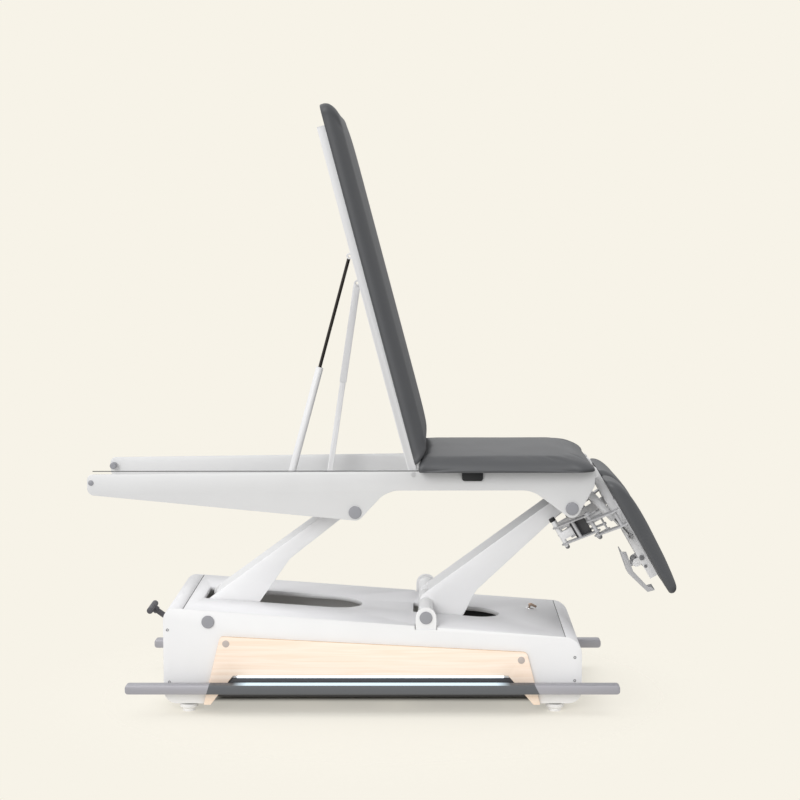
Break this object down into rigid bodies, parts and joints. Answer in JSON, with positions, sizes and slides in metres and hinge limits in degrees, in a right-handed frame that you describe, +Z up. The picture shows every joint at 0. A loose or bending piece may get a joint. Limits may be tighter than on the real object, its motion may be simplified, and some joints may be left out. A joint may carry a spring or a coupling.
{
  "type": "treatment table",
  "caption": "Height-adjustable treatment table with a raised backrest, a seat pad and a drooping head section with swinging armrests, on a covered base with foot rails.",
  "frame": {"origin": "on the floor, under the middle of the bounding box", "axes": "+Z up, +X along the table from the backrest end to the head section, +Y across it, away from the side with the badge"},
  "size_m": [1.7068, 0.682, 1.7534],
  "materials": {
    "white_steel": "white powder coat",
    "white_cover": "white powder coat",
    "deck_steel": "white powder coat",
    "grey_cap": "satin moulded",
    "castor_grey": "matte moulded",
    "birch": "clear matte lacquer",
    "rail_grey": "satin anodised",
    "tread_dark": "matte",
    "foot_white": "matte moulded",
    "upholstery": "satin imitation leather",
    "bright_rod": "polished",
    "zinc": "satin zinc",
    "black": "matte",
    "bronze": "satin"
  },
  "bodies": {
    "base": {"base_frame": "white_steel", "side_panel_near": "white_steel", "side_panel_far": "white_steel", "end_cover_left": "white_cover", "end_cover_right": "white_cover", "top_cover": "white_cover", "key_switch": "zinc", "wood_panel_near": "birch", "wood_panel_far": "birch", "levelling_foot_left_near": "foot_white", "levelling_foot_right_near": "foot_white", "levelling_foot_left_far": "foot_white", "levelling_foot_right_far": "foot_white", "base_shaft_left": "grey_cap", "base_shaft_right": "grey_cap", "control_box": "black", "motor_cable": "black"},
    "left_arm": {"left_arm": "white_steel"},
    "right_arm": {"right_arm": "white_steel"},
    "deck": {"deck_plate_near": "deck_steel", "deck_plate_far": "deck_steel", "buffer_near": "grey_cap", "buffer_far": "grey_cap", "deck_shaft_left": "grey_cap", "deck_shaft_right": "grey_cap", "backrest_hinge_shaft": "zinc", "head_hinge_shaft": "zinc", "strut_cross_member": "deck_steel", "seat_pad": "upholstery"},
    "actuator_housing": {"actuator_housing": "black"},
    "actuator_rod": {"actuator_rod": "zinc"},
    "castor_lever": {"castor_lever": "castor_grey"},
    "castor_frame": {"castor_frame": "white_steel"},
    "castor_wheelset_left": {"castor_wheelset_left": "castor_grey"},
    "castor_wheelset_right": {"castor_wheelset_right": "castor_grey"},
    "foot_rail_near": {"foot_rail_near": "rail_grey", "foot_rail_tread_near": "tread_dark"},
    "foot_rail_far": {"foot_rail_far": "rail_grey", "foot_rail_tread_far": "tread_dark"},
    "key": {"key": "bronze"},
    "back_frame": {"back_frame": "white_steel", "back_pad": "upholstery"},
    "gas_slider": {"gas_spring_slider": "zinc"},
    "gas_tube": {"gas_spring_tube": "white_steel"},
    "gas_rod": {"gas_spring_rod": "bright_rod"},
    "stay_outer": {"stay_outer": "white_steel"},
    "stay_inner": {"stay_inner": "white_steel"},
    "head_frame": {"head_frame": "white_steel", "head_pad": "upholstery"},
    "head_spring_tube": {"head_spring_tube": "white_steel"},
    "head_spring_rod": {"head_spring_rod": "zinc"},
    "armrest_link_near": {"armrest_link_near": "zinc"},
    "armrest_bracket_near": {"armrest_bracket_near": "zinc", "armrest_pad_near": "upholstery"},
    "armrest_tie_near": {"armrest_tie_near": "zinc"},
    "armrest_link_far": {"armrest_link_far": "zinc"},
    "armrest_bracket_far": {"armrest_bracket_far": "zinc", "armrest_pad_far": "upholstery"},
    "armrest_tie_far": {"armrest_tie_far": "zinc"},
    "release_handle": {"release_handle": "zinc"}
  },
  "joints": [
    {"name": "lift", "type": "hinge", "parent": "base", "child": "left_arm", "pos_m": [-0.49935, 0, 0.2675], "axis": [0, -1, 0], "range_deg": [-30, 32]},
    {"name": "right_arm_swing", "type": "hinge", "parent": "base", "child": "right_arm", "pos_m": [0.13065, 0, 0.278], "axis": [0, -1, 0], "range_deg": [-30.1, 32.1]},
    {"name": "deck_level", "type": "hinge", "parent": "left_arm", "child": "deck", "pos_m": [-0.07488, 0, 0.57646], "axis": [0, -1, 0], "range_deg": [-32.1, 30.1]},
    {"name": "actuator_tilt", "type": "hinge", "parent": "base", "child": "actuator_housing", "pos_m": [-0.27435, 0, 0.13], "axis": [0, -1, 0], "range_deg": [-1, 1]},
    {"name": "actuator_extend", "type": "slide", "parent": "actuator_housing", "child": "actuator_rod", "axis": [0.9881, 0, 0.1537], "range_m": [-0.04228, 0.04507]},
    {"name": "castor_lever_press", "type": "hinge", "parent": "base", "child": "castor_lever", "pos_m": [-0.56935, 0, 0.1629], "axis": [0, -1, 0], "range_deg": [0, 35]},
    {"name": "castor_drop", "type": "slide", "parent": "base", "child": "castor_frame", "axis": [0, 0, -1], "range_m": [0, 0.0122]},
    {"name": "castor_roll_left", "type": "hinge", "parent": "castor_frame", "child": "castor_wheelset_left", "pos_m": [-0.51435, 0, 0.0295], "axis": [0, 1, 0], "continuous": true},
    {"name": "castor_roll_right", "type": "hinge", "parent": "castor_frame", "child": "castor_wheelset_right", "pos_m": [0.46565, 0, 0.0295], "axis": [0, 1, 0], "continuous": true},
    {"name": "foot_rail_near_press", "type": "slide", "parent": "base", "child": "foot_rail_near", "axis": [0, 0, 1], "range_m": [-0.006, 0.006], "stiffness_N_per_m": 12000},
    {"name": "foot_rail_far_press", "type": "slide", "parent": "base", "child": "foot_rail_far", "axis": [0, 0, 1], "range_m": [-0.006, 0.006], "stiffness_N_per_m": 12000},
    {"name": "key_turn", "type": "hinge", "parent": "base", "child": "key", "pos_m": [0.44965, 0.118, 0.2291], "axis": [0.0742, 0, 0.9972], "range_deg": [0, 90]},
    {"name": "backrest", "type": "hinge", "parent": "deck", "child": "back_frame", "pos_m": [0.09562, 0, 0.68646], "axis": [0, 1, 0], "range_deg": [-75.3, 0]},
    {"name": "gas_slider_travel", "type": "slide", "parent": "deck", "child": "gas_slider", "axis": [1, 0, 0], "range_m": [0, 0.1057]},
    {"name": "gas_spring_tilt", "type": "hinge", "parent": "gas_slider", "child": "gas_tube", "pos_m": [-0.27788, -0.06, 0.63996], "axis": [0, -1, 0], "range_deg": [0, 101.88]},
    {"name": "gas_spring_stroke", "type": "slide", "parent": "gas_tube", "child": "gas_rod", "axis": [0.2626, 0, 0.9649], "range_m": [-0.31135, 0]},
    {"name": "stay_tilt", "type": "hinge", "parent": "deck", "child": "stay_inner", "pos_m": [-0.16388, 0.06, 0.63996], "axis": [0, -1, 0], "range_deg": [0, 94.87]},
    {"name": "stay_stroke", "type": "slide", "parent": "stay_inner", "child": "stay_outer", "axis": [0.1481, 0, 0.989], "range_m": [-0.2869, 0]},
    {"name": "head_section", "type": "hinge", "parent": "deck", "child": "head_frame", "pos_m": [0.62252, 0, 0.68646], "axis": [0, -1, 0], "range_deg": [0, 85]},
    {"name": "head_spring_tilt", "type": "hinge", "parent": "deck", "child": "head_spring_tube", "pos_m": [0.59472, -0.14, 0.63806], "axis": [0, -1, 0], "range_deg": [0, 78.03]},
    {"name": "head_spring_stroke", "type": "slide", "parent": "head_spring_tube", "child": "head_spring_rod", "axis": [0.6908, 0, -0.723], "range_m": [0, 0.07009]},
    {"name": "armrest_near", "type": "hinge", "parent": "head_frame", "child": "armrest_link_near", "pos_m": [0.52923, -0.092, 0.49404], "axis": [-0.5, 0, 0.866], "range_deg": [-11, 0]},
    {"name": "armrest_level_near", "type": "hinge", "parent": "armrest_link_near", "child": "armrest_bracket_near", "pos_m": [0.6141, -0.178, 0.54304], "axis": [-0.5, 0, 0.866], "range_deg": [-0.05, 11.05]},
    {"name": "armrest_tie_swing_near", "type": "hinge", "parent": "head_frame", "child": "armrest_tie_near", "pos_m": [0.56771, -0.092, 0.48738], "axis": [-0.5, 0, 0.866], "range_deg": [-11.05, 0.05]},
    {"name": "armrest_far", "type": "hinge", "parent": "head_frame", "child": "armrest_link_far", "pos_m": [0.52923, 0.092, 0.49404], "axis": [0.5, 0, -0.866], "range_deg": [-11, 0]},
    {"name": "armrest_level_far", "type": "hinge", "parent": "armrest_link_far", "child": "armrest_bracket_far", "pos_m": [0.6141, 0.178, 0.54304], "axis": [0.5, 0, -0.866], "range_deg": [-0.05, 11.05]},
    {"name": "armrest_tie_swing_far", "type": "hinge", "parent": "head_frame", "child": "armrest_tie_far", "pos_m": [0.56771, 0.092, 0.48738], "axis": [0.5, 0, -0.866], "range_deg": [-11.05, 0.05]},
    {"name": "release_handle", "type": "hinge", "parent": "head_frame", "child": "release_handle", "pos_m": [0.76173, 0, 0.39733], "axis": [0, 1, 0], "range_deg": [-12, 12], "stiffness_Nm_per_rad": 6}
  ],
  "couplings": [
    {"joint": "right_arm_swing", "follows": "lift", "ratio": 1},
    {"joint": "deck_level", "follows": "lift", "ratio": -1},
    {"joint": "actuator_tilt", "follows": "lift", "ratio": -0.0268},
    {"joint": "actuator_extend", "follows": "lift", "m_per_rad": 0.079796},
    {"joint": "castor_drop", "follows": "castor_lever_press", "m_per_rad": 0.019644},
    {"joint": "gas_slider_travel", "follows": "backrest", "m_per_rad": -0.080275},
    {"joint": "gas_spring_tilt", "follows": "backrest", "ratio": -1.3516},
    {"joint": "gas_spring_stroke", "follows": "backrest", "m_per_rad": 0.23667},
    {"joint": "stay_tilt", "follows": "backrest", "ratio": -1.2586},
    {"joint": "stay_stroke", "follows": "backrest", "m_per_rad": 0.21807},
    {"joint": "head_spring_tilt", "follows": "head_section", "ratio": 0.91688},
    {"joint": "head_spring_stroke", "follows": "head_section", "m_per_rad": 0.047044},
    {"joint": "armrest_level_near", "follows": "armrest_near", "ratio": -1},
    {"joint": "armrest_tie_swing_near", "follows": "armrest_near", "ratio": 1},
    {"joint": "armrest_level_far", "follows": "armrest_far", "ratio": -1},
    {"joint": "armrest_tie_swing_far", "follows": "armrest_far", "ratio": 1}
  ]
}
